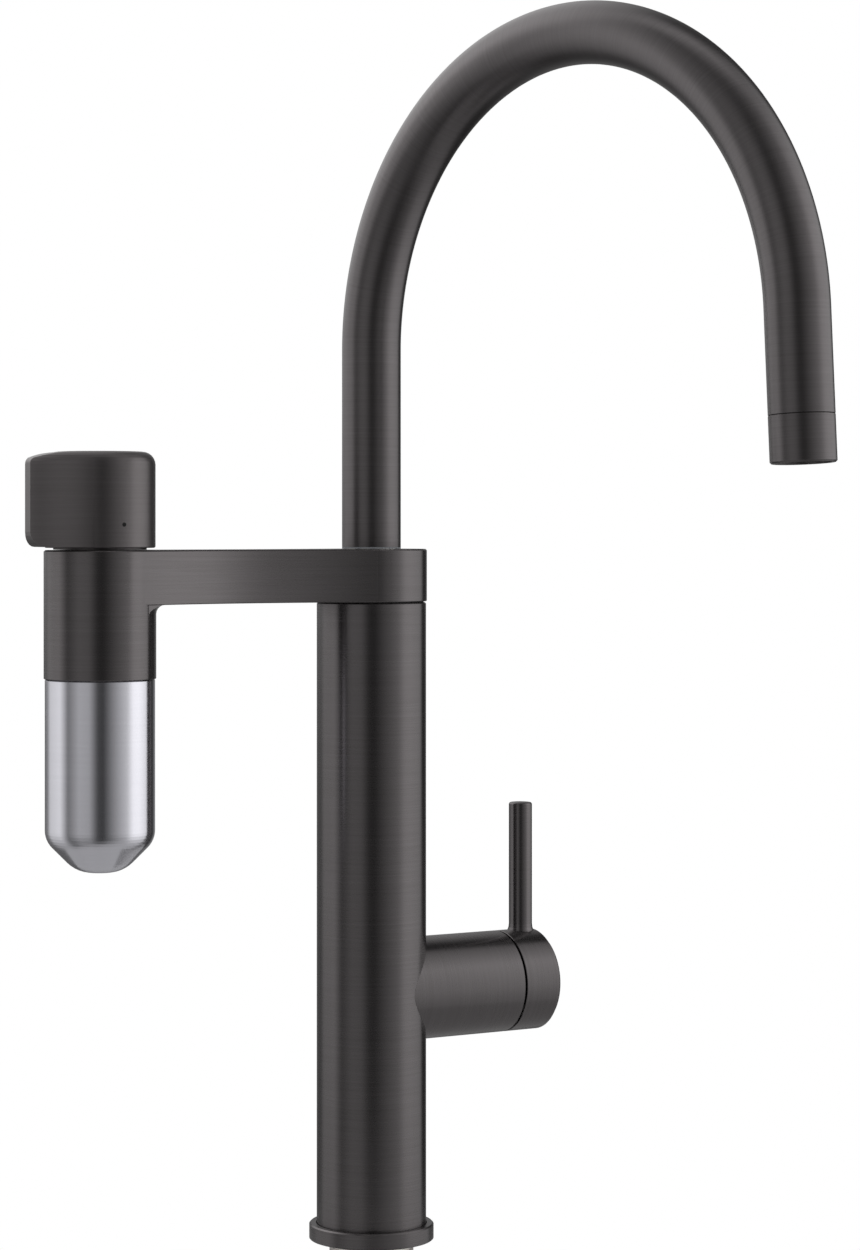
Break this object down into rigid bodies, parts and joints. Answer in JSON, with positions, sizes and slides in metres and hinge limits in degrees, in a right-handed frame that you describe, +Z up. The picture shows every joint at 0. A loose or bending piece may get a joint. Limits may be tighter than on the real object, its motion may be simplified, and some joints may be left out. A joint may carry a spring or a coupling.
{
  "type": "kitchen mixer tap",
  "caption": "Kitchen mixer tap with a high swivel spout, a side pin lever, and a side arm that carries a quarter-turn knob over a screw-on filter capsule.",
  "frame": {"origin": "centre of the tap hole, at the underside of the base flange, where the flange meets the worktop", "axes": "+Z up along the column; -Y is the front, where the user stands; the side lever is at +X and the filter arm at -X. At rest the spout stands turned 8.7 degrees from the front towards the lever, as pictured."},
  "size_m": [0.21, 0.2459, 0.4944],
  "materials": {
    "gunmetal": "brushed gunmetal coating",
    "stainless": "satin turned",
    "steel": "plain",
    "brass": "machined",
    "copper": "drawn",
    "rubber": "matt",
    "white_plastic": "moulded",
    "grey_plastic": "moulded",
    "black_plastic": "moulded",
    "ceramic": "lapped"
  },
  "bodies": {
    "tap_body": {"base_flange": "gunmetal", "base_seal": "rubber", "column": "gunmetal", "lever_housing": "gunmetal", "shank": "brass", "deck_gasket": "rubber", "deck_washer": "steel", "deck_nut": "brass", "valve_manifold": "brass", "mixed_water_pipe": "copper", "filter_feed_pipe": "copper", "column_head": "brass", "hub_washer": "black_plastic", "hub_o_rings": "rubber", "hub_screw": "steel", "swivel_bush": "white_plastic", "spout_screw": "steel", "cartridge_seals": "rubber", "cartridge_housing": "grey_plastic", "fixed_disc": "ceramic", "cartridge_nut": "brass", "dome_ring": "black_plastic", "filter_arm": "gunmetal", "valve_housing": "brass", "valve_nut": "gunmetal", "valve_seal": "rubber", "valve_fixed_disc": "ceramic"},
    "spout": {"slide_ring": "black_plastic", "spout_foot": "brass", "foot_o_rings": "rubber", "spout_tube": "gunmetal", "filtered_water_tube": "white_plastic", "outlet_ring": "gunmetal", "outlet_seal": "rubber", "outlet_jet": "grey_plastic", "filtered_nozzle": "white_plastic"},
    "lever_carrier": {"cartridge_carrier": "grey_plastic", "stem_pin": "steel"},
    "lever": {"stem": "brass", "lever_cap": "gunmetal", "lever_rod": "gunmetal", "lever_screw": "steel"},
    "disc_shuttle": {"moving_disc": "ceramic", "disc_driver": "white_plastic"},
    "filter_knob": {"valve_turning_disc": "ceramic", "valve_spindle": "brass", "spindle_o_ring": "rubber", "filter_knob": "gunmetal", "knob_index_dot": "black_plastic", "knob_screw": "steel"},
    "filter_insert": {"filter_element": "white_plastic", "element_cap": "grey_plastic", "element_o_rings": "rubber"},
    "capsule": {"capsule_cup": "stainless", "capsule_o_ring": "rubber"}
  },
  "joints": [
    {"name": "spout_swivel", "type": "hinge", "parent": "tap_body", "child": "spout", "pos_m": [0, 0, 0.2321], "axis": [0, 0, 1], "continuous": true},
    {"name": "lever_temperature", "type": "hinge", "parent": "tap_body", "child": "lever_carrier", "pos_m": [0.042, 0, 0.09], "axis": [1, 0, 0], "range_deg": [-45, 45]},
    {"name": "lever_flow", "type": "hinge", "parent": "lever_carrier", "child": "lever", "pos_m": [0.042, 0, 0.09], "axis": [0, 1, 0], "range_deg": [0, 25]},
    {"name": "disc_slide", "type": "slide", "parent": "lever_carrier", "child": "disc_shuttle", "axis": [0, 0, 1], "range_m": [0, 0.0049]},
    {"name": "filter_knob_turn", "type": "hinge", "parent": "tap_body", "child": "filter_knob", "pos_m": [-0.1115, 0, 0.257], "axis": [0, 0, 1], "range_deg": [0, 90]},
    {"name": "capsule_drop", "type": "slide", "parent": "tap_body", "child": "filter_insert", "axis": [0, 0, -1], "range_m": [0, 0.009]},
    {"name": "capsule_unscrew", "type": "hinge", "parent": "filter_insert", "child": "capsule", "pos_m": [-0.1115, 0, 0.206], "axis": [0, 0, -1], "range_deg": [0, 1090]}
  ],
  "couplings": [
    {"joint": "disc_slide", "follows": "lever_flow", "m_per_rad": 0.011},
    {"joint": "capsule_unscrew", "follows": "capsule_drop", "rad_per_m": 2094.4}
  ]
}
